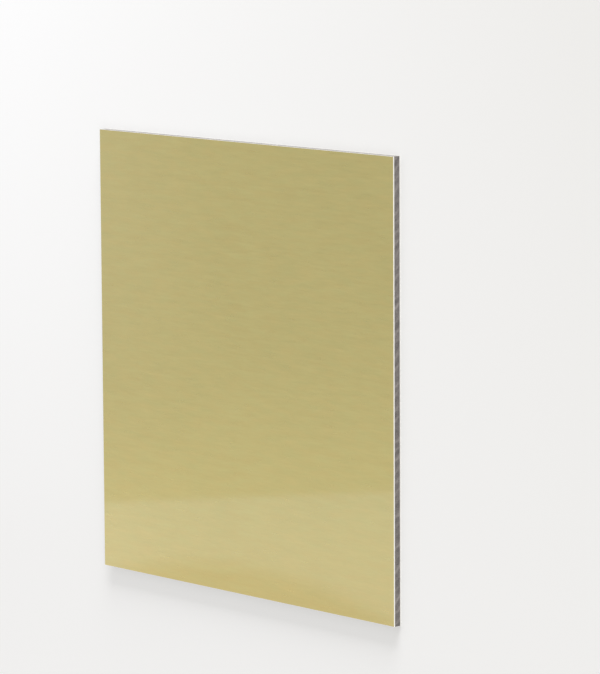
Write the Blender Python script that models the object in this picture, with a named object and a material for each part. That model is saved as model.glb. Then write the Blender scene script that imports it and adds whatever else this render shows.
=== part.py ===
"""Aluminium composite panel: a square-cut sample lying on its rear cover sheet.

Two thin aluminium cover sheets are bonded over the whole of a polyethylene core. The front
sheet is brushed along the panel's width under a gold-tinted lacquer, and the rear one is plain.

The frame is in metres. Its origin is the centre of the underside, +X runs along the width,
+Y runs up the height of the brushed face, and +Z points out of that face.
"""

import bmesh
import bpy

# Driving dimensions
PANEL_WIDTH = 0.190
PANEL_HEIGHT = 0.200
COVER_THICKNESS = 0.0005
CORE_THICKNESS = 0.0030

# Sawing leaves each cover sheet's outer face with a sharp edge, which is eased by hand
ARRIS_RADIUS = 0.0001
ARRIS_SEGMENTS = 3

# Levels of the layers. Two layers that are bonded share one value, so their faces meet exactly
UNDERSIDE = 0.0
REAR_BOND = UNDERSIDE + COVER_THICKNESS
FRONT_BOND = REAR_BOND + CORE_THICKNESS
BRUSHED_FACE = FRONT_BOND + COVER_THICKNESS


def clear_scene():
    """Removes every object that the scene starts with."""
    for item in list(bpy.data.objects):
        bpy.data.objects.remove(item, do_unlink=True)


def finish(name, colour, metallic, roughness, coat=0.0):
    """Makes a Principled material from a linear colour and its gloss values."""
    material = bpy.data.materials.new(name)
    material.use_nodes = True
    shader = material.node_tree.nodes["Principled BSDF"]
    shader.inputs["Base Color"].default_value = (*colour, 1.0)
    shader.inputs["Metallic"].default_value = metallic
    shader.inputs["Roughness"].default_value = roughness
    shader.inputs["Coat Weight"].default_value = coat
    material.diffuse_color = (*colour, 1.0)
    return material


def sawn_layer(bottom, top):
    """Makes a bmesh of one layer, cut to the panel's outline, between two levels."""
    layer = bmesh.new()
    half_width = PANEL_WIDTH / 2
    half_height = PANEL_HEIGHT / 2
    outline = (
        (-half_width, -half_height),
        (half_width, -half_height),
        (half_width, half_height),
        (-half_width, half_height),
    )
    underside = layer.faces.new([layer.verts.new((x, y, bottom)) for x, y in outline])
    raised = bmesh.ops.extrude_face_region(layer, geom=[underside])["geom"]
    for item in raised:
        if isinstance(item, bmesh.types.BMVert):
            item.co.z = top
    bmesh.ops.recalc_face_normals(layer, faces=layer.faces)
    return layer


def ease_edges(layer, level):
    """Rounds the four edges round the face of a layer that lies at a level."""
    outer_edges = [
        edge for edge in layer.edges if all(abs(v.co.z - level) < ARRIS_RADIUS / 2 for v in edge.verts)
    ]
    bmesh.ops.bevel(
        layer,
        geom=outer_edges,
        offset=ARRIS_RADIUS,
        segments=ARRIS_SEGMENTS,
        profile=0.5,
        affect="EDGES",
    )


def add_piece(name, layer, material):
    """Turns a finished bmesh into a named object that stands at the frame's origin."""
    mesh = bpy.data.meshes.new(name)
    layer.to_mesh(mesh)
    layer.free()
    mesh.materials.append(material)
    piece = bpy.data.objects.new(name, mesh)
    bpy.context.scene.collection.objects.link(piece)
    return piece


def build_rear_cover_sheet():
    """Builds the plain sheet that the panel lies on, its underside edges eased."""
    layer = sawn_layer(UNDERSIDE, REAR_BOND)
    ease_edges(layer, UNDERSIDE)
    mill_aluminium = finish("mill_aluminium", (0.74, 0.74, 0.73), metallic=1.0, roughness=0.38)
    return add_piece("rear_cover_sheet", layer, mill_aluminium)


def build_polyethylene_core():
    """Builds the core, which fills the space between the two bonded faces."""
    layer = sawn_layer(REAR_BOND, FRONT_BOND)
    dark_polyethylene = finish("dark_polyethylene", (0.19, 0.17, 0.16), metallic=0.0, roughness=0.6)
    return add_piece("polyethylene_core", layer, dark_polyethylene)


def build_front_cover_sheet():
    """Builds the brushed sheet on the core, its upper edges eased."""
    layer = sawn_layer(FRONT_BOND, BRUSHED_FACE)
    ease_edges(layer, BRUSHED_FACE)
    brushed_gold = finish(
        "brushed_gold_lacquer", (0.53, 0.46, 0.20), metallic=1.0, roughness=0.34, coat=1.0
    )
    return add_piece("front_cover_sheet", layer, brushed_gold)


def main():
    """Builds the panel from the bottom layer up."""
    clear_scene()
    build_rear_cover_sheet()
    build_polyethylene_core()
    build_front_cover_sheet()


main()
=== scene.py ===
"""Dresses a cut sample of aluminium composite panel and sets it in a plain pale studio.

The panel lies on its rear cover sheet with the brushed face up. In the frame, in metres, +X runs
along the panel's width, +Y up the height of the brushed face and +Z out of that face. The camera
looks down on the panel from the right, rolled so that the face's height runs up the picture.
"""

import logging
import math
from dataclasses import dataclass
from enum import Enum

import bpy
from mathutils import Matrix, Vector


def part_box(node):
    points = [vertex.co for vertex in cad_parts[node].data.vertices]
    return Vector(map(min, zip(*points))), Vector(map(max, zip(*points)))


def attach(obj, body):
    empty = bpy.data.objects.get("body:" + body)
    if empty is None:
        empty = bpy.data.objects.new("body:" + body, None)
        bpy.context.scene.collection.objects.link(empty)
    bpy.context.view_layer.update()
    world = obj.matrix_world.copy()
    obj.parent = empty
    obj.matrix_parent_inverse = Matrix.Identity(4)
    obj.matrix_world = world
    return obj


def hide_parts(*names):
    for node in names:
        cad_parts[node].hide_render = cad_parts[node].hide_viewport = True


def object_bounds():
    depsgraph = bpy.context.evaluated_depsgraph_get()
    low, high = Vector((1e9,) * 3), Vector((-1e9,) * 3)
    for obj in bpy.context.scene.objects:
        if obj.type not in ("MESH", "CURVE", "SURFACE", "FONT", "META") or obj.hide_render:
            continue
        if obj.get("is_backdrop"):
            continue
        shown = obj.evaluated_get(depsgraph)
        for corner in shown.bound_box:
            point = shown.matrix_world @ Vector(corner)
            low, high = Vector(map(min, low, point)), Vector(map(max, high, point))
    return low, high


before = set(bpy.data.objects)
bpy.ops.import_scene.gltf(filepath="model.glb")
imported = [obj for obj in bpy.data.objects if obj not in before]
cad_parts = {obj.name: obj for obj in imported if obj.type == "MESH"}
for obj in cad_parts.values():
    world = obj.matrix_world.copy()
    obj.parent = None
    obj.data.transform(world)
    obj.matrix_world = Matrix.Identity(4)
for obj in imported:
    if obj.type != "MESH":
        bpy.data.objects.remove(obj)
CAD_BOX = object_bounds()

BODY = "root"

MILLIMETRE = 0.001
MICROMETRE = 0.000001
QUARTER_TURN = math.pi / 2

Colour = tuple[float, float, float]
Place = tuple[float, float, float]
Box = tuple[Vector, Vector]

WHITE: Colour = (1.0, 1.0, 1.0)
ALONG_X: Place = (1.0, 0.0, 0.0)
ALONG_Y: Place = (0.0, 1.0, 0.0)

# The mean of a noise, and the middle of a blend between two colours
MIDDLE = 0.5

# The share of a box below its middle, and the step from a whole number to a limit above it
HALF = 0.5

# The feature size of a pattern that stays the same all along an axis
ENDLESS = math.inf

# The least share of its normal along Z for a face that looks up, and for a level one
UPWARD = 0.5
LEVEL = 0.999

# The narrowest fade inside a lamp's edge, which looks sharp
SHARP_FADE = 1 * MICROMETRE

log = logging.getLogger("panel")


class Signal:
    """One socket of a node graph, ready for plain Python arithmetic."""

    def __init__(self, graph: "Graph", socket: bpy.types.NodeSocket) -> None:
        """Keeps an output socket together with the graph that its maths is added to."""
        self.graph = graph
        self.socket = socket

    def maths(self, operation: str, *terms: "Term") -> "Signal":
        """Adds a Math node for an operation and its terms in order, and gives its result."""
        return self.graph.add("ShaderNodeMath", {"operation": operation}, dict(enumerate(terms)))[0]

    def __add__(self, other: "Term") -> "Signal":
        """Gives self + other."""
        return self.maths("ADD", self, other)

    def __radd__(self, other: "Term") -> "Signal":
        """Gives other + self."""
        return self.maths("ADD", other, self)

    def __sub__(self, other: "Term") -> "Signal":
        """Gives self - other."""
        return self.maths("SUBTRACT", self, other)

    def __rsub__(self, other: "Term") -> "Signal":
        """Gives other - self."""
        return self.maths("SUBTRACT", other, self)

    def __mul__(self, other: "Term") -> "Signal":
        """Gives self * other."""
        return self.maths("MULTIPLY", self, other)

    def __rmul__(self, other: "Term") -> "Signal":
        """Gives other * self."""
        return self.maths("MULTIPLY", other, self)

    def __truediv__(self, other: "Term") -> "Signal":
        """Gives self / other."""
        return self.maths("DIVIDE", self, other)

    def __rtruediv__(self, other: "Term") -> "Signal":
        """Gives other / self."""
        return self.maths("DIVIDE", other, self)

    def __pow__(self, other: "Term") -> "Signal":
        """Gives self to the power of other."""
        return self.maths("POWER", self, other)

    def __rpow__(self, other: "Term") -> "Signal":
        """Gives other to the power of self."""
        return self.maths("POWER", other, self)

    def __gt__(self, other: "Term") -> "Signal":
        """Gives 1 where self is greater than other, and 0 elsewhere."""
        return self.maths("GREATER_THAN", self, other)

    def __lt__(self, other: "Term") -> "Signal":
        """Gives 1 where self is less than other, and 0 elsewhere."""
        return self.maths("LESS_THAN", self, other)

    def __abs__(self) -> "Signal":
        """Gives self without its sign."""
        return self.maths("ABSOLUTE", self)

    def __round__(self) -> "Signal":
        """Gives the nearest whole number."""
        return self.maths("ROUND", self)

    def sign(self) -> "Signal":
        """Gives -1, 0 or 1 by the sign."""
        return self.maths("SIGN", self)

    def sine(self) -> "Signal":
        """Gives the sine of an angle in radians."""
        return self.maths("SINE", self)

    def cosine(self) -> "Signal":
        """Gives the cosine of an angle in radians."""
        return self.maths("COSINE", self)

    def clamped(self) -> "Signal":
        """Gives self held between 0 and 1."""
        return self.maths("MINIMUM", self.maths("MAXIMUM", self, 0.0), 1.0)

    def centred(self) -> "Signal":
        """Gives a noise about 0, as it runs from 0 to 1 about its middle."""
        return self - MIDDLE


Term = Signal | float
Sockets = dict[str, Term | tuple]


class Outputs:
    """The outputs of one node, each read as a signal."""

    def __init__(self, graph: "Graph", node: bpy.types.Node) -> None:
        """Keeps a node together with its graph."""
        self.graph = graph
        self.node = node

    def __getitem__(self, key: str | int) -> Signal:
        """Gives the output with this name or number."""
        return Signal(self.graph, self.graph.socket(self.node.outputs, key))


class Graph:
    """A node tree that is built node by node, for a material, a lamp, the world or a shape."""

    def __init__(self, tree: bpy.types.NodeTree) -> None:
        """Empties a tree and keeps it."""
        self.tree = tree
        self.tree.nodes.clear()

    @staticmethod
    def socket(sockets: bpy.types.bpy_prop_collection, key: str | int) -> bpy.types.NodeSocket:
        """Finds a socket.

        Args:
            sockets: a node's inputs or outputs.
            key: the socket's number, or its name among the sockets in use.

        Returns:
            The socket.
        """
        if isinstance(key, int):
            return sockets[key]
        return next(socket for socket in sockets if socket.enabled and socket.name == key)

    def fill(self, node: bpy.types.Node, inputs: dict) -> None:
        """Gives a node's sockets their values and links.

        Args:
            node: the node.
            inputs: a value, a signal or a list of signals for each socket, by its name or number.
        """
        for key, value in inputs.items():
            target = self.socket(node.inputs, key)
            for source in value if isinstance(value, list) else [value]:
                if isinstance(source, Signal):
                    self.tree.links.new(source.socket, target)
                else:
                    target.default_value = source

    def add(self, kind: str, settings: dict | None = None, inputs: dict | None = None) -> Outputs:
        """Adds a node, sets it up and fills its sockets.

        Args:
            kind: the node's type.
            settings: properties of the node, which are set before its sockets are looked up.
            inputs: what its sockets get, as `fill` takes it.

        Returns:
            The node's outputs.
        """
        node = self.tree.nodes.new(kind)
        for name, value in (settings or {}).items():
            setattr(node, name, value)
        self.fill(node, inputs or {})
        return Outputs(self, node)

    def vector(self, x: Term, y: Term, z: Term) -> Signal:
        """Joins three values into a vector."""
        return self.add("ShaderNodeCombineXYZ", {}, {0: x, 1: y, 2: z})[0]

    def parts(self, vector: Signal) -> tuple[Signal, Signal, Signal]:
        """Splits a vector into its three values."""
        split = self.add("ShaderNodeSeparateXYZ", {}, {0: vector})
        return split[0], split[1], split[2]

    def noise(self, vector: Signal, detail: float, roughness: float = 0.5) -> Signal:
        """Gives a fractal noise, read one unit to a feature, with some finer octaves."""
        sockets = {"Vector": vector, "Scale": 1.0, "Detail": detail, "Roughness": roughness}
        return self.add("ShaderNodeTexNoise", {"noise_dimensions": "3D"}, sockets)[0]


class ShapeRecipe:
    """A Geometry Nodes tree with named inputs, which ends as one real mesh."""

    def __init__(self, name: str, inputs: dict[str, float | int]) -> None:
        """Starts the tree.

        Args:
            name: the tree's name.
            inputs: each input's name and value. A whole number makes an integer input.
        """
        self.name = name
        self.values = inputs
        self.identifiers: dict[str, str] = {}
        tree = bpy.data.node_groups.new(name, "GeometryNodeTree")
        kinds = {int: "NodeSocketInt", float: "NodeSocketFloat"}
        for key, value in inputs.items():
            kind = kinds[type(value)]
            socket = tree.interface.new_socket(key, in_out="INPUT", socket_type=kind)
            self.identifiers[key] = socket.identifier
        tree.interface.new_socket("Shape", in_out="OUTPUT", socket_type="NodeSocketGeometry")
        self.graph = Graph(tree)
        self.entry = self.graph.add("NodeGroupInput")

    def __getitem__(self, name: str) -> Signal:
        """Gives the input with this name."""
        return self.entry[name]

    def finish(self, shape: Signal, faces: list[tuple[Signal | None, bpy.types.Material]]) -> None:
        """Ends the tree with real geometry and its materials.

        Args:
            shape: the finished geometry.
            faces: pairs of a selection and the material that it gets. None selects every face.
        """
        shape = self.graph.add("GeometryNodeRealizeInstances", {}, {"Geometry": shape})[0]
        for selection, material in faces:
            inputs = {"Geometry": shape, "Material": material}
            if selection is not None:
                inputs["Selection"] = selection
            shape = self.graph.add("GeometryNodeSetMaterial", {}, inputs)[0]
        self.graph.add("NodeGroupOutput", {}, {"Shape": shape})

    def make(self, name: str, sharp_from: float) -> bpy.types.Object:
        """Runs the tree once and keeps its result as a plain mesh.

        Args:
            name: the new piece's name.
            sharp_from: the angle between two faces, in degrees, from which their edge is sharp.

        Returns:
            The piece, at the origin of the frame.
        """
        piece = bpy.data.objects.new(name, bpy.data.meshes.new(name + "_start"))
        bpy.context.scene.collection.objects.link(piece)
        modifier = piece.modifiers.new(self.name, "NODES")
        modifier.node_group = self.graph.tree
        for key, value in self.values.items():
            modifier[self.identifiers[key]] = value
        depsgraph = bpy.context.evaluated_depsgraph_get()
        mesh = bpy.data.meshes.new_from_object(piece.evaluated_get(depsgraph), depsgraph=depsgraph)
        piece.modifiers.remove(modifier)
        piece.data = mesh
        mesh.name = name
        mesh.shade_smooth()
        mesh.set_sharp_from_angle(angle=math.radians(sharp_from))
        return piece


def opaque(colour: Colour) -> tuple[float, float, float, float]:
    """Gives a colour with full opacity, as a socket takes it."""
    return (*colour, 1.0)


@dataclass(frozen=True)
class Finish:
    """A surface finish, which paints a Principled material unless it adds its own shader."""

    name: str

    def material(self) -> bpy.types.Material:
        """Makes the finish's material.

        Returns:
            The material, which has the finish's name.
        """
        made = bpy.data.materials.new(self.name)
        made.use_nodes = True
        graph = Graph(made.node_tree)
        graph.add("ShaderNodeOutputMaterial", {}, {"Surface": self.surface(graph)})
        return made

    def surface(self, graph: Graph) -> Signal:
        """Adds the finish's shader."""
        return graph.add("ShaderNodeBsdfPrincipled", {}, self.sockets(graph))["BSDF"]

    def sockets(self, graph: Graph) -> Sockets:
        """Gives the value or the signal of each of the shader's sockets that the finish sets."""
        raise NotImplementedError

    @staticmethod
    def noise(graph: Graph, sizes: Place, detail: float, roughness: float = 0.5) -> Signal:
        """Adds a noise on the piece, whose features have their own size along each axis.

        Args:
            graph: the material's graph.
            sizes: the features' sizes along X, Y and Z, in metres.
            detail: how many finer octaves it has.
            roughness: how strong the finer octaves are.

        Returns:
            The noise, from 0 to 1.
        """
        here = graph.add("ShaderNodeTexCoord")["Object"]
        scale = tuple(1 / size for size in sizes)
        place = graph.add("ShaderNodeMapping", {}, {"Vector": here, "Scale": scale})[0]
        return graph.noise(place, detail, roughness)

    @staticmethod
    def blend(graph: Graph, amount: Signal, low: Colour, high: Colour) -> Signal:
        """Blends from the low colour to the high one as the amount goes from 0 to 1."""
        sockets = {"Factor": amount, "A": opaque(low), "B": opaque(high)}
        return graph.add("ShaderNodeMix", {"data_type": "RGBA"}, sockets)["Result"]

    @staticmethod
    def tinted(graph: Graph, colour: Signal, tint: Signal) -> Signal:
        """Multiplies a colour by a tint.

        Args:
            graph: the material's graph.
            colour: the colour.
            tint: the tint, which is white where it changes nothing.

        Returns:
            The tinted colour.
        """
        settings = {"data_type": "RGBA", "blend_type": "MULTIPLY"}
        sockets = {"Factor": 1.0, "A": colour, "B": tint}
        return graph.add("ShaderNodeMix", settings, sockets)["Result"]

    @staticmethod
    def relief(graph: Graph, height: Signal, depth: float) -> Signal:
        """Turns a height into a normal, where a height of 1 is the depth in metres."""
        return graph.add("ShaderNodeBump", {}, {"Height": height, "Distance": depth})["Normal"]


@dataclass(frozen=True)
class BrushedGold(Finish):
    """Aluminium brushed along X, under a clear lacquer with a gold tint."""

    shade: Colour = (0.471, 0.408, 0.142)
    light: Colour = (0.592, 0.512, 0.195)
    band_length: float = 19 * MILLIMETRE
    band_pitch: float = 3.2 * MILLIMETRE
    band_strength: float = 0.55
    streak_length: float = 12 * MILLIMETRE
    streak_pitch: float = 1.2 * MILLIMETRE
    streak_strength: float = 0.45
    hair_length: float = 4.5 * MILLIMETRE
    hair_pitch: float = 0.30 * MILLIMETRE
    hair_strength: float = 0.36
    cloud: float = 60 * MILLIMETRE
    cloud_strength: float = 0.25
    warm_tint: Colour = (1.017, 0.991, 0.979)
    cool_tint: Colour = (0.983, 1.009, 1.021)
    tint_length: float = 12 * MILLIMETRE
    tint_pitch: float = 3.2 * MILLIMETRE
    tint_depth: float = 143 * MILLIMETRE
    tint_contrast: float = 2.5
    roughness: float = 0.30
    roughness_change: float = 0.14
    relief_share: float = 0.5
    relief_depth: float = 4 * MICROMETRE
    lacquer_roughness: float = 0.03
    lacquer_index: float = 1.55

    def sockets(self, graph: Graph) -> Sockets:
        """Paints bands, streaks and hairs, which all lie along X, over a faint cloudiness.

        Args:
            graph: the material's graph.

        Returns:
            What the shader's sockets get.
        """
        bands = self.lines(graph, self.band_length, self.band_pitch)
        streaks = self.lines(graph, self.streak_length, self.streak_pitch)
        hairs = self.lines(graph, self.hair_length, self.hair_pitch)
        clouds = self.noise(graph, (self.cloud, self.cloud, ENDLESS), detail=1.0)
        tints = self.noise(graph, (self.tint_length, self.tint_pitch, self.tint_depth), detail=2.0)
        tone = bands * self.band_strength + streaks * self.streak_strength
        tone = tone + hairs * self.hair_strength + clouds * self.cloud_strength
        metal = self.blend(graph, (tone + MIDDLE).clamped(), self.shade, self.light)
        coolness = (tints.centred() * self.tint_contrast + MIDDLE).clamped()
        tint = self.blend(graph, coolness, self.warm_tint, self.cool_tint)
        grain = streaks * self.relief_share + hairs * self.relief_share
        return {
            "Base Color": self.tinted(graph, metal, tint),
            "Metallic": 1.0,
            "Roughness": self.roughness + streaks * self.roughness_change,
            "Normal": self.relief(graph, grain, self.relief_depth),
            "Coat Weight": 1.0,
            "Coat Roughness": self.lacquer_roughness,
            "Coat IOR": self.lacquer_index,
        }

    def lines(self, graph: Graph, length: float, pitch: float) -> Signal:
        """Gives a noise about 0 whose features lie along X."""
        return self.noise(graph, (length, pitch, ENDLESS), detail=2.0, roughness=0.6).centred()


@dataclass(frozen=True)
class CutAluminium(Finish):
    """Bare aluminium where the saw has cut a cover sheet, bright with fine drag lines."""

    shade: Colour = (0.91, 0.895, 0.86)
    light: Colour = (0.99, 0.975, 0.94)
    line_length: float = 1.8 * MILLIMETRE
    line_pitch: float = 0.18 * MILLIMETRE
    line_contrast: float = 1.5
    roughness: float = 0.32
    roughness_change: float = 0.2
    relief_depth: float = 4 * MICROMETRE

    def sockets(self, graph: Graph) -> Sockets:
        """Paints short lines across the sheet's thickness, along every cut edge.

        Args:
            graph: the material's graph.

        Returns:
            What the shader's sockets get.
        """
        lines = self.noise(graph, (self.line_pitch, self.line_pitch, self.line_length), detail=2.0)
        tone = (lines.centred() * self.line_contrast + MIDDLE).clamped()
        return {
            "Base Color": self.blend(graph, tone, self.shade, self.light),
            "Metallic": 1.0,
            "Roughness": self.roughness + lines.centred() * self.roughness_change,
            "Normal": self.relief(graph, lines, self.relief_depth),
        }


@dataclass(frozen=True)
class MillAluminium(Finish):
    """Aluminium as it leaves the rolling mill, with faint lines along X."""

    shade: Colour = (0.70, 0.70, 0.69)
    light: Colour = (0.80, 0.80, 0.79)
    line_length: float = 90 * MILLIMETRE
    line_pitch: float = 0.9 * MILLIMETRE
    line_strength: float = 1.3
    cloud: float = 35 * MILLIMETRE
    cloud_strength: float = 0.8
    roughness: float = 0.36
    roughness_change: float = 0.15
    relief_depth: float = 2 * MICROMETRE

    def sockets(self, graph: Graph) -> Sockets:
        """Paints rolling lines over a faint cloudiness.

        Args:
            graph: the material's graph.

        Returns:
            What the shader's sockets get.
        """
        sizes = (self.line_length, self.line_pitch, ENDLESS)
        lines = self.noise(graph, sizes, detail=4.0, roughness=0.7)
        clouds = self.noise(graph, (self.cloud, self.cloud, ENDLESS), detail=2.0)
        tone = lines.centred() * self.line_strength + clouds.centred() * self.cloud_strength
        return {
            "Base Color": self.blend(graph, (tone + MIDDLE).clamped(), self.shade, self.light),
            "Metallic": 1.0,
            "Roughness": self.roughness + clouds.centred() * self.roughness_change,
            "Normal": self.relief(graph, lines, self.relief_depth),
        }


@dataclass(frozen=True)
class SawnPolyethylene(Finish):
    """Dark grey polyethylene, smeared lighter where the saw has dragged over it, and with painted
    sheen on the saw's ridges.
    """

    shade: Colour = (0.085, 0.075, 0.070)
    light: Colour = (0.260, 0.234, 0.219)
    mark_attribute: str = "saw_mark"
    ridge_smear_and_sheen: float = 0.75
    furrow_tone: float = 0.25
    fleck: float = 0.5 * MILLIMETRE
    fleck_strength: float = 1.2
    blotch: float = 4.5 * MILLIMETRE
    blotch_strength: float = 0.9
    roughness: float = 0.30
    roughness_change: float = 0.2
    relief_depth: float = 10 * MICROMETRE

    def sockets(self, graph: Graph) -> Sockets:
        """Paints the saw's ridges lighter than its furrows, as smear and painted sheen, with flecks
        over both.

        Args:
            graph: the material's graph.

        Returns:
            What the shader's sockets get.
        """
        marks = graph.add("ShaderNodeAttribute", {"attribute_name": self.mark_attribute})["Fac"]
        flecks = self.noise(graph, (self.fleck, self.fleck, self.fleck), detail=2.0, roughness=0.6)
        blotches = self.noise(graph, (self.blotch, self.blotch, self.blotch), detail=2.0)
        # The ridges are lighter partly as smear and partly as painted sheen
        tone = self.furrow_tone + marks * self.ridge_smear_and_sheen
        tone = tone + flecks.centred() * self.fleck_strength
        tone = tone + blotches.centred() * self.blotch_strength
        return {
            "Base Color": self.blend(graph, tone.clamped(), self.shade, self.light),
            "Metallic": 0.0,
            "Roughness": self.roughness + flecks.centred() * self.roughness_change,
            "Normal": self.relief(graph, flecks, self.relief_depth),
        }


@dataclass(kw_only=True)
class Layer:
    """One of the panel's three bonded layers, which stands for its plain solid.

    An edge of it is sharp from the angle `sharp_from` between its two faces, in degrees.
    """

    node: str
    slot: str
    piece_name: str
    sharp_from: float

    def recipe(self) -> ShapeRecipe:
        """Builds the tree that gives the layer its shape."""
        raise NotImplementedError

    def build(self) -> bpy.types.Object:
        """Makes the layer's piece, in the place of its CAD node.

        Returns:
            The piece.
        """
        piece = self.recipe().make(self.piece_name, self.sharp_from)
        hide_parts(self.node)
        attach(piece, BODY)
        self.slot
        return piece


class Facing(Enum):
    """Which way a cover sheet's outer face looks."""

    UP = 1.0
    DOWN = -1.0


@dataclass(kw_only=True)
class CoverSheet(Layer):
    """One thin aluminium sheet of the panel, with eased outer edges.

    Its face meets the arris at 15 degrees. That edge is sharp, so that the face is shaded flat.
    """

    facing: Facing
    outer_finish: Finish
    cut_finish: Finish
    sharp_from: float = 10.0
    arris_radius: float = 0.1 * MILLIMETRE
    arris_steps: int = 3
    cell: float = 2 * MILLIMETRE
    waviness: float = 1.5 * MICROMETRE
    wave_length: float = 45 * MILLIMETRE

    def sizes(self) -> dict[str, float | int]:
        """Lists the tree's inputs, the first of them from the plain solid.

        Returns:
            Each input's name and value.
        """
        low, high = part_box(self.node)
        size = high - low
        return {
            "Width": size.x,
            "Height": size.y,
            "Thickness": size.z,
            "Bond Level": low.z if self.facing is Facing.UP else high.z,
            "Facing": self.facing.value,
            "Arris Radius": self.arris_radius,
            "Arris Steps": self.arris_steps,
            "Waviness": self.waviness,
            "Wave Length": self.wave_length,
            "Cells Across": round(size.x / self.cell),
            "Cells Up": round(size.y / self.cell),
        }

    def recipe(self) -> ShapeRecipe:
        """Builds the sheet's tree: a gridded box, bent to shape, set on the core and dressed.

        Returns:
            The recipe.
        """
        recipe = ShapeRecipe(self.piece_name + "_recipe", self.sizes())
        graph, facing = recipe.graph, recipe["Facing"]
        seated = graph.add(
            "GeometryNodeTransform",
            {},
            {
                "Geometry": self.bent_box(recipe),
                "Translation": graph.vector(0.0, 0.0, recipe["Bond Level"]),
                "Scale": graph.vector(1.0, facing, facing),
            },
        )[0]
        tilt = graph.parts(graph.add("GeometryNodeInputNormal")[0])[2] * facing
        cut, outer = self.cut_finish.material(), self.outer_finish.material()
        recipe.finish(seated, [(None, cut), (tilt > LEVEL, outer)])
        return recipe

    @staticmethod
    def bent_box(recipe: ShapeRecipe) -> Signal:
        """Makes a gridded box whose outer rim is bent to a round arris.

        The box's lowest ring stays on the bonded face. The rings above it climb the arris, from
        the cut edge to the outer face, and the grid of the outer face gets its faint waves.

        Args:
            recipe: the sheet's recipe.

        Returns:
            The bent box, with its bonded face at level 0 and its outer face up.
        """
        graph, wave_length = recipe.graph, recipe["Wave Length"]
        width, height, thickness = recipe["Width"], recipe["Height"], recipe["Thickness"]
        radius, steps = recipe["Arris Radius"], recipe["Arris Steps"]
        box = {
            "Size": graph.vector(width, height, thickness),
            "Vertices X": recipe["Cells Across"] + 1,
            "Vertices Y": recipe["Cells Up"] + 1,
            "Vertices Z": steps + 2,
        }
        grid = graph.add("GeometryNodeMeshCube", {}, box)["Mesh"]
        x, y, z = graph.parts(graph.add("GeometryNodeInputPosition")[0])
        ring = round((z / thickness + HALF) * (steps + 1))
        climb = ((ring - 1) / steps).clamped() * QUARTER_TURN
        inset = radius * (1 - climb.cosine())
        at_side = abs(x) > width / 2 - radius / 2
        at_end = abs(y) > height / 2 - radius / 2
        on_outer_face = ring > steps + HALF
        level = (thickness - radius + radius * climb.sine()) * (ring > HALF)
        waves = graph.noise(graph.vector(x / wave_length, y / wave_length, 0.0), detail=1.0)
        bent = graph.vector(
            x - x.sign() * at_side * inset,
            y - y.sign() * at_end * inset,
            level - on_outer_face * waves * recipe["Waviness"],
        )
        return graph.add("GeometryNodeSetPosition", {}, {"Geometry": grid, "Position": bent})[0]


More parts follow.
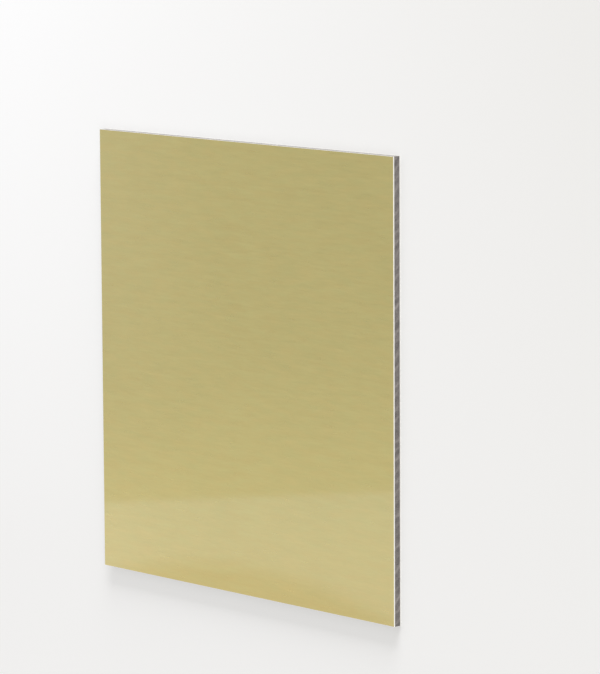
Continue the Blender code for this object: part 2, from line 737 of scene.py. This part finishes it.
@dataclass(kw_only=True)
class PolyethyleneCore(Layer):
    """The plastic core, with the slanted marks that the saw has left round its edge.

    The marks follow the saw's feed, with a slow wander, and show only where the saw has bitten.
    """

    node: str = "polyethylene_core"
    slot: str = "core"
    piece_name: str = "sawn_core"
    sharp_from: float = 40.0
    finish: SawnPolyethylene = SawnPolyethylene("sawn_polyethylene")
    cuts_per_side: int = 760
    rows: int = 12
    weld: float = 1 * MICROMETRE
    tooth_feed: float = 4.6 * MILLIMETRE
    mark_depth: float = 60 * MICROMETRE
    mark_slant: float = 0.8
    mark_sharpness: float = 1.5
    wander_length: float = 9 * MILLIMETRE
    wander: float = 1.6
    bite_length: float = 6 * MILLIMETRE
    bite_contrast: float = 3.0
    bite_loss: float = 0.9

    def sizes(self) -> dict[str, float | int]:
        """Lists the tree's inputs, the first of them from the plain solid.

        Returns:
            Each input's name and value.
        """
        low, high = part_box(self.node)
        size = high - low
        return {
            "Width": size.x,
            "Height": size.y,
            "Thickness": size.z,
            "Lower Level": low.z,
            "Cuts": self.cuts_per_side,
            "Rows": self.rows,
            "Weld": self.weld,
            "Tooth Feed": self.tooth_feed,
            "Mark Depth": self.mark_depth,
            "Mark Slant": self.mark_slant,
            "Mark Sharpness": self.mark_sharpness,
            "Wander Length": self.wander_length,
            "Wander": self.wander,
            "Bite Length": self.bite_length,
            "Bite Contrast": self.bite_contrast,
            "Bite Loss": self.bite_loss,
        }

    def recipe(self) -> ShapeRecipe:
        """Builds the core's tree: a cap that is raised row by row, then cut by the saw's marks.

        Returns:
            The recipe.
        """
        recipe = ShapeRecipe(self.piece_name + "_recipe", self.sizes())
        graph, depth = recipe.graph, recipe["Mark Depth"]
        raised = self.raised_cap(recipe)
        place = graph.parts(graph.add("GeometryNodeInputPosition")[0])
        x, y, z = place
        at_side = abs(x) > recipe["Width"] / 2 - depth
        at_end = abs(y) > recipe["Height"] / 2 - depth
        ridge = self.ridges(recipe, place, at_side)
        cut = (1 - ridge) * depth
        marked = graph.add(
            "GeometryNodeStoreNamedAttribute",
            {"data_type": "FLOAT", "domain": "POINT"},
            {"Geometry": raised, "Name": self.finish.mark_attribute, "Value": ridge},
        )[0]
        sunk = graph.vector(
            x - x.sign() * at_side * cut,
            y - y.sign() * at_end * cut,
            z + recipe["Lower Level"],
        )
        sawn = graph.add("GeometryNodeSetPosition", {}, {"Geometry": marked, "Position": sunk})[0]
        recipe.finish(sawn, [(None, self.finish.material())])
        return recipe

    @staticmethod
    def ridges(recipe: ShapeRecipe, place: tuple[Signal, Signal, Signal], at_side: Signal) -> Signal:
        """Works out the ridges between the saw's furrows, which slant across the core's edge.

        Args:
            recipe: the core's recipe.
            place: each point's x, y and z.
            at_side: 1 on the two sides that run along Y, and 0 elsewhere.

        Returns:
            How high each point stands, from 0 in a furrow to 1 on a ridge.
        """
        graph = recipe.graph
        x, y, z = place
        run = at_side * y + (1 - at_side) * x
        slanted = run + z * recipe["Mark Slant"]
        where = graph.vector(*(part / recipe["Wander Length"] for part in place))
        drift = graph.noise(where, detail=2.0).centred() * recipe["Wander"]
        furrow = abs(((slanted / recipe["Tooth Feed"] + drift) * math.pi).sine())
        along = graph.vector(slanted / recipe["Bite Length"], at_side, x.sign() + y.sign())
        bite = graph.noise(along, detail=1.0) * recipe["Bite Contrast"] - recipe["Bite Loss"]
        return (1 - furrow) ** recipe["Mark Sharpness"] * bite.clamped()

    @staticmethod
    def raised_cap(recipe: ShapeRecipe) -> Signal:
        """Raises the panel's outline from level 0 to the core's thickness, in rows.

        Args:
            recipe: the core's recipe.

        Returns:
            A closed body whose faces point outwards.
        """
        graph = recipe.graph
        sides = {"Width": recipe["Width"], "Height": recipe["Height"]}
        shape = {"mode": "RECTANGLE"}
        outline = graph.add("GeometryNodeCurvePrimitiveQuadrilateral", shape, sides)[0]
        cuts = {"Curve": outline, "Cuts": recipe["Cuts"]}
        outline = graph.add("GeometryNodeSubdivideCurve", {}, cuts)[0]
        cap = graph.add("GeometryNodeFillCurve", {"mode": "NGONS"}, {"Curve": outline})[0]
        last = graph.add("GeometryNodeRepeatOutput")
        first = graph.add("GeometryNodeRepeatInput")
        first.node.pair_with_output(last.node)
        graph.fill(first.node, {"Iterations": recipe["Rows"], "Geometry": cap})
        row = {
            "Mesh": first["Geometry"],
            "Selection": graph.parts(graph.add("GeometryNodeInputNormal")[0])[2] > UPWARD,
            "Offset": graph.vector(0.0, 0.0, recipe["Thickness"] / recipe["Rows"]),
            "Individual": False,
        }
        lifted = graph.add("GeometryNodeExtrudeMesh", {"mode": "FACES"}, row)["Mesh"]
        graph.fill(last.node, {"Geometry": lifted})
        base = graph.add("GeometryNodeFlipFaces", {}, {"Mesh": cap})[0]
        both = {"Geometry": [last["Geometry"], base]}
        joined = graph.add("GeometryNodeJoinGeometry", {}, both)[0]
        seam = {"Geometry": joined, "Distance": recipe["Weld"]}
        return graph.add("GeometryNodeMergeByDistance", {}, seam)[0]


def placement(right: Vector, up: Vector, back: Vector, place: Vector) -> Matrix:
    """Gives the matrix of a lamp or a camera that looks away from `back`."""
    return Matrix.Translation(place) @ Matrix((right, up, back)).transposed().to_4x4()


@dataclass(frozen=True)
class PhotoCamera:
    """A long lens that looks down on the panel from its right-hand side.

    Its sensor and focal length are in millimetres, its angles in degrees. Its azimuth turns from
    +X towards +Y, and it sees as far as its reach.
    """

    aim: Place = (0.03721, 0.01838, 0.004)
    azimuth: float = 10.77
    elevation: float = 42.325
    roll: float = -0.294
    distance: float = 1.7233
    focal_length: float = 214.08
    sensor: float = 36.0
    reach: float = 100.0

    def axes(self) -> tuple[Vector, Vector, Vector]:
        """Works out the camera's axes.

        Returns:
            The directions to the picture's right, up the picture, and back from the picture.
        """
        turn, rise = math.radians(self.azimuth), math.radians(self.elevation)
        level = math.cos(rise)
        back = Vector((level * math.cos(turn), level * math.sin(turn), math.sin(rise)))
        unrolled = Vector(ALONG_Y).cross(back).normalized()
        right = Matrix.Rotation(math.radians(self.roll), 3, back) @ unrolled
        return right, back.cross(right), back

    def build(self) -> bpy.types.Object:
        """Makes the camera.

        Returns:
            The camera, which is the scene's own from now on.
        """
        data = bpy.data.cameras.new("photo_camera")
        data.lens = self.focal_length
        data.sensor_width = self.sensor
        data.sensor_fit = "AUTO"
        data.clip_end = self.reach
        camera = bpy.data.objects.new("photo_camera", data)
        bpy.context.scene.collection.objects.link(camera)
        right, up, back = self.axes()
        camera.matrix_world = placement(right, up, back, Vector(self.aim) + back * self.distance)
        bpy.context.scene.camera = camera
        return camera


@dataclass(frozen=True)
class Softbox:
    """A rectangular studio lamp, given by how bright its face looks.

    Its width lies along the direction `across`. Each edge can fade over some distance inside it,
    and the bottom edge can also climb from its right-hand end, by a slope and a bend against it.
    A lamp that isn't mirrored is hidden from reflections.
    """

    name: str
    place: Place
    across: Place
    width: float
    height: float
    radiance: float
    aim: Place = (0.0, 0.0, 0.0)
    colour: Colour = WHITE
    fade_left: float = 0.0
    fade_right: float = 0.0
    fade_top: float = 0.0
    fade_bottom: float = 0.0
    bottom_slope: float = 0.0
    bottom_bend: float = 0.0
    mirrored: bool = True

    def build(self) -> bpy.types.Object:
        """Makes the lamp, turned to its aim.

        Returns:
            The lamp's object.
        """
        lamp = bpy.data.lights.new(self.name, "AREA")
        lamp.shape = "RECTANGLE"
        lamp.size = self.width
        lamp.size_y = self.height
        lamp.color = self.colour
        lamp.energy = self.radiance * math.pi * self.width * self.height
        lamp.use_nodes = True
        self.grade(Graph(lamp.node_tree))
        holder = bpy.data.objects.new(self.name, lamp)
        holder.visible_glossy = self.mirrored
        bpy.context.scene.collection.objects.link(holder)
        back = (Vector(self.place) - Vector(self.aim)).normalized()
        up = back.cross(Vector(self.across)).normalized()
        holder.matrix_world = placement(up.cross(back), up, back, Vector(self.place))
        return holder

    def grade(self, graph: Graph) -> None:
        """Fades the lamp's face towards its edges.

        Args:
            graph: the lamp's graph.
        """
        face = graph.add("ShaderNodeNewGeometry")["Parametric"]
        across, up, _ = graph.parts(face)
        from_left, from_bottom = across * self.width, up * self.height
        from_right, from_top = self.width - from_left, self.height - from_bottom
        lift = from_right * self.bottom_slope - from_right * from_right * self.bottom_bend
        strength = self.fade(from_left, self.fade_left) * self.fade(from_right, self.fade_right)
        strength = strength * self.fade(from_top, self.fade_top)
        strength = strength * self.fade(from_bottom - lift, self.fade_bottom)
        emission = graph.add("ShaderNodeEmission", {}, {"Strength": strength})["Emission"]
        graph.add("ShaderNodeOutputLight", {}, {"Surface": emission})

    @staticmethod
    def fade(inside: Signal, reach: float) -> Signal:
        """Rises smoothly from 0 on an edge to 1 at `reach` inside it."""
        rise = (inside / max(reach, SHARP_FADE)).clamped()
        return rise * rise * (3 - 2 * rise)


@dataclass(frozen=True)
class MirroredView:
    """What the camera sees mirrored in the lacquer of the panel's face."""

    camera: PhotoCamera

    def card(
        self,
        name: str,
        distance: float,
        left: float,
        right: float,
        top: float,
        bottom: float,
        turn: float = 0.0,
        **look: float | Colour,
    ) -> Softbox:
        """Places a lamp in the mirrored view, square to it.

        Args:
            name: the lamp's name.
            distance: how far it is from the face. No two are level, or they would hide each other.
            left: its left edge, to the right of the face's mirrored centre, for 1 m of distance.
            right: its right edge, counted likewise.
            top: its top edge, below the face's mirrored centre, for 1 m of distance.
            bottom: its bottom edge, counted likewise.
            turn: how far it rises to the right, in metres to the metre.
            look: the lamp's radiance, colour and fading edges.

        Returns:
            The lamp.
        """
        axes = self.camera.axes()
        right_way, up_way, back = (Vector((axis.x, axis.y, -axis.z)) for axis in axes)
        middle = right_way * (left + right) / 2 - up_way * (top + bottom) / 2 - back
        face_centre = Vector((0.0, 0.0, CAD_BOX[1].z))
        place = face_centre + middle * distance
        return Softbox(
            name,
            place=tuple(place),
            across=tuple(right_way + up_way * turn),
            width=(right - left) * distance,
            height=(bottom - top) * distance,
            aim=tuple(place + back),
            **look,
        )


@dataclass(frozen=True)
class StudioPaper(Finish):
    """Matt off-white paper, which the camera sees partly washed out, with painted light falloff:
    brighter to the back left.

    Its two tones, of painted light and painted shade, blend between left_x and right_x, and between
    near_y and far_y.
    """

    colour: Colour = (0.94, 0.94, 0.945)
    bright: Colour = WHITE
    dim: Colour = (0.735, 0.72, 0.68)
    dim_in_front: float = 0.52
    dim_to_the_right: float = 0.24
    washed: float = 0.55
    left_x: float = -0.16
    right_x: float = 0.20
    near_y: float = -0.10
    far_y: float = 0.16

    def surface(self, graph: Graph) -> Signal:
        """Adds the paper's shader: matt to light, and for the camera mostly a pale tone with painted
        light falloff.

        Args:
            graph: the material's graph.

        Returns:
            The shader.
        """
        matt = graph.add("ShaderNodeBsdfDiffuse", {}, {"Color": opaque(self.colour)})["BSDF"]
        x, y, _ = graph.parts(graph.add("ShaderNodeTexCoord")["Object"])
        across = ((x - self.left_x) / (self.right_x - self.left_x)).clamped()
        away = ((y - self.near_y) / (self.far_y - self.near_y)).clamped()
        near = 1 - away
        # Painted light falloff: the tone dims in front and to the right, and is brightest at the
        # back left
        painted_falloff = near * self.dim_in_front + across * (near * self.dim_to_the_right + away)
        tone = self.blend(graph, painted_falloff, self.bright, self.dim)
        shown = graph.add("ShaderNodeEmission", {}, {"Color": tone})["Emission"]
        rays = graph.add("ShaderNodeLightPath")
        mirrored = rays["Is Glossy Ray"] + rays["Is Transmission Ray"]
        seen = (rays["Is Camera Ray"] + mirrored).clamped()
        return graph.add("ShaderNodeMixShader", {}, {0: seen * self.washed, 1: matt, 2: shown})[0]


@dataclass(frozen=True)
class Studio:
    """The pale floor that the panel lies on, the lamps over it and the even light around it."""

    camera: PhotoCamera = PhotoCamera()
    paper: StudioPaper = StudioPaper("studio_paper")
    floor_size: float = 40.0
    ambient: float = 0.33
    mirrored: Colour = (0.76, 0.755, 0.735)
    horizon: Colour = (0.88, 0.875, 0.87)

    def softboxes(self) -> list[Softbox]:
        """Lists the lamps that light the panel. The one behind it throws its shadow.

        Returns:
            The lamps.
        """
        return [
            Softbox(
                "back_softbox",
                place=(1.20, 5.40, 1.32),
                across=ALONG_X,
                width=3.2,
                height=2.2,
                radiance=23.0,
                mirrored=False,
            ),
            Softbox(
                "top_softbox",
                place=(0.30, 1.20, 0.80),
                across=ALONG_X,
                width=1.6,
                height=0.8,
                radiance=0.4,
            ),
            Softbox(
                "front_softbox",
                place=(1.22, -0.30, 1.40),
                across=ALONG_Y,
                width=2.0,
                height=1.6,
                radiance=1.3,
            ),
            Softbox(
                "left_softbox",
                place=(-0.55, 0.75, 0.95),
                across=ALONG_X,
                width=0.8,
                height=0.8,
                radiance=1.0,
            ),
        ]

    def cards(self) -> list[Softbox]:
        """Lists the lamps that show in the lacquer.

        They are the pale band low on the face, the warm tone below it and the two lighter parts
        of its left side.

        Returns:
            The lamps.
        """
        view = MirroredView(self.camera)
        return [
            view.card(
                "low_card",
                distance=1.0,
                left=-0.25,
                right=0.20,
                top=0.093,
                bottom=0.296,
                turn=0.037,
                radiance=0.73,
                colour=(0.68, 0.89, 1.0),
                fade_top=0.006,
                fade_bottom=0.020,
                bottom_slope=1.14,
                bottom_bend=2.217,
            ),
            view.card(
                "warm_card",
                distance=1.03,
                left=-0.40,
                right=0.40,
                top=0.06,
                bottom=0.45,
                radiance=0.172,
                colour=(1.0, 0.28, 0.16),
                fade_left=0.05,
                fade_right=0.05,
                fade_top=0.12,
                fade_bottom=0.05,
            ),
            view.card(
                "low_left_card",
                distance=1.06,
                left=-0.30,
                right=-0.05,
                top=0.0,
                bottom=0.32,
                radiance=0.21,
                colour=(1.0, 0.79, 0.62),
                fade_left=0.05,
                fade_right=0.07,
                fade_top=0.12,
                fade_bottom=0.10,
            ),
            view.card(
                "left_card",
                distance=1.09,
                left=-0.32,
                right=-0.02,
                top=-0.45,
                bottom=0.12,
                radiance=0.24,
                colour=(0.93, 0.86, 1.0),
                fade_left=0.05,
                fade_right=0.10,
                fade_top=0.05,
                fade_bottom=0.25,
            ),
        ]

    def build_floor(self) -> bpy.types.Object:
        """Makes the floor, level with the panel's underside.

        Returns:
            The floor, which is marked as no part of the panel.
        """
        half = self.floor_size / 2
        corners = [(-half, -half, 0.0), (half, -half, 0.0), (half, half, 0.0), (-half, half, 0.0)]
        mesh = bpy.data.meshes.new("floor")
        mesh.from_pydata(corners, [], [(0, 1, 2, 3)])
        mesh.materials.append(self.paper.material())
        floor = bpy.data.objects.new("floor", mesh)
        bpy.context.scene.collection.objects.link(floor)
        floor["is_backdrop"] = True
        return floor

    def build_world(self) -> None:
        """Lights everything evenly, and shows a pale horizon to the camera and in reflections."""
        world = bpy.data.worlds.new("studio")
        bpy.context.scene.world = world
        world.use_nodes = True
        graph = Graph(world.node_tree)
        rays = graph.add("ShaderNodeLightPath")
        even = self.background(graph, WHITE, self.ambient)
        mirrored = self.background(graph, self.mirrored)
        horizon = self.background(graph, self.horizon)
        glossy = (rays["Is Glossy Ray"] + rays["Is Transmission Ray"]).clamped()
        lit = graph.add("ShaderNodeMixShader", {}, {0: glossy, 1: even, 2: mirrored})[0]
        by_camera = {0: rays["Is Camera Ray"], 1: lit, 2: horizon}
        seen = graph.add("ShaderNodeMixShader", {}, by_camera)[0]
        graph.add("ShaderNodeOutputWorld", {}, {"Surface": seen})

    @staticmethod
    def background(graph: Graph, colour: Colour, strength: float = 1.0) -> Signal:
        """Adds an even light of one colour all round."""
        sockets = {"Color": opaque(colour), "Strength": strength}
        return graph.add("ShaderNodeBackground", {}, sockets)["Background"]

    def build(self) -> None:
        """Makes the floor, the world, the lamps and the camera."""
        self.build_floor()
        self.build_world()
        for lamp in self.softboxes() + self.cards():
            lamp.build()
        self.camera.build()


def panel_layers() -> list[Layer]:
    """Lists the panel's three layers from the bottom up.

    Returns:
        The layers, ready to build.
    """
    cut_edge = CutAluminium("cut_aluminium")
    return [
        CoverSheet(
            node="rear_cover_sheet",
            slot="rear_cover",
            piece_name="mill_rear_sheet",
            facing=Facing.DOWN,
            outer_finish=MillAluminium("mill_aluminium"),
            cut_finish=cut_edge,
        ),
        PolyethyleneCore(),
        CoverSheet(
            node="front_cover_sheet",
            slot="front_cover",
            piece_name="brushed_front_sheet",
            facing=Facing.UP,
            outer_finish=BrushedGold("brushed_gold"),
            cut_finish=cut_edge,
        ),
    ]


def write_sizes(cad: Box, shown: Box) -> None:
    """Args:
        cad: the CAD model's lowest and highest corners.
        shown: the visual model's lowest and highest corners.
    """
    boxes = {"cad": [list(corner) for corner in cad], "visual": [list(corner) for corner in shown]}


def main() -> None:
    """Builds the panel from the bottom layer up, then the studio round it."""
    logging.basicConfig(level=logging.INFO, format="%(name)s: %(message)s")
    for layer in panel_layers():
        piece = layer.build()
        log.info("%s: %d faces", piece.name, len(piece.data.polygons))
    Studio().build()
    bpy.context.scene.view_settings.view_transform = "Standard"
    write_sizes(CAD_BOX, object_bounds())


if __name__ == "__main__":
    main()
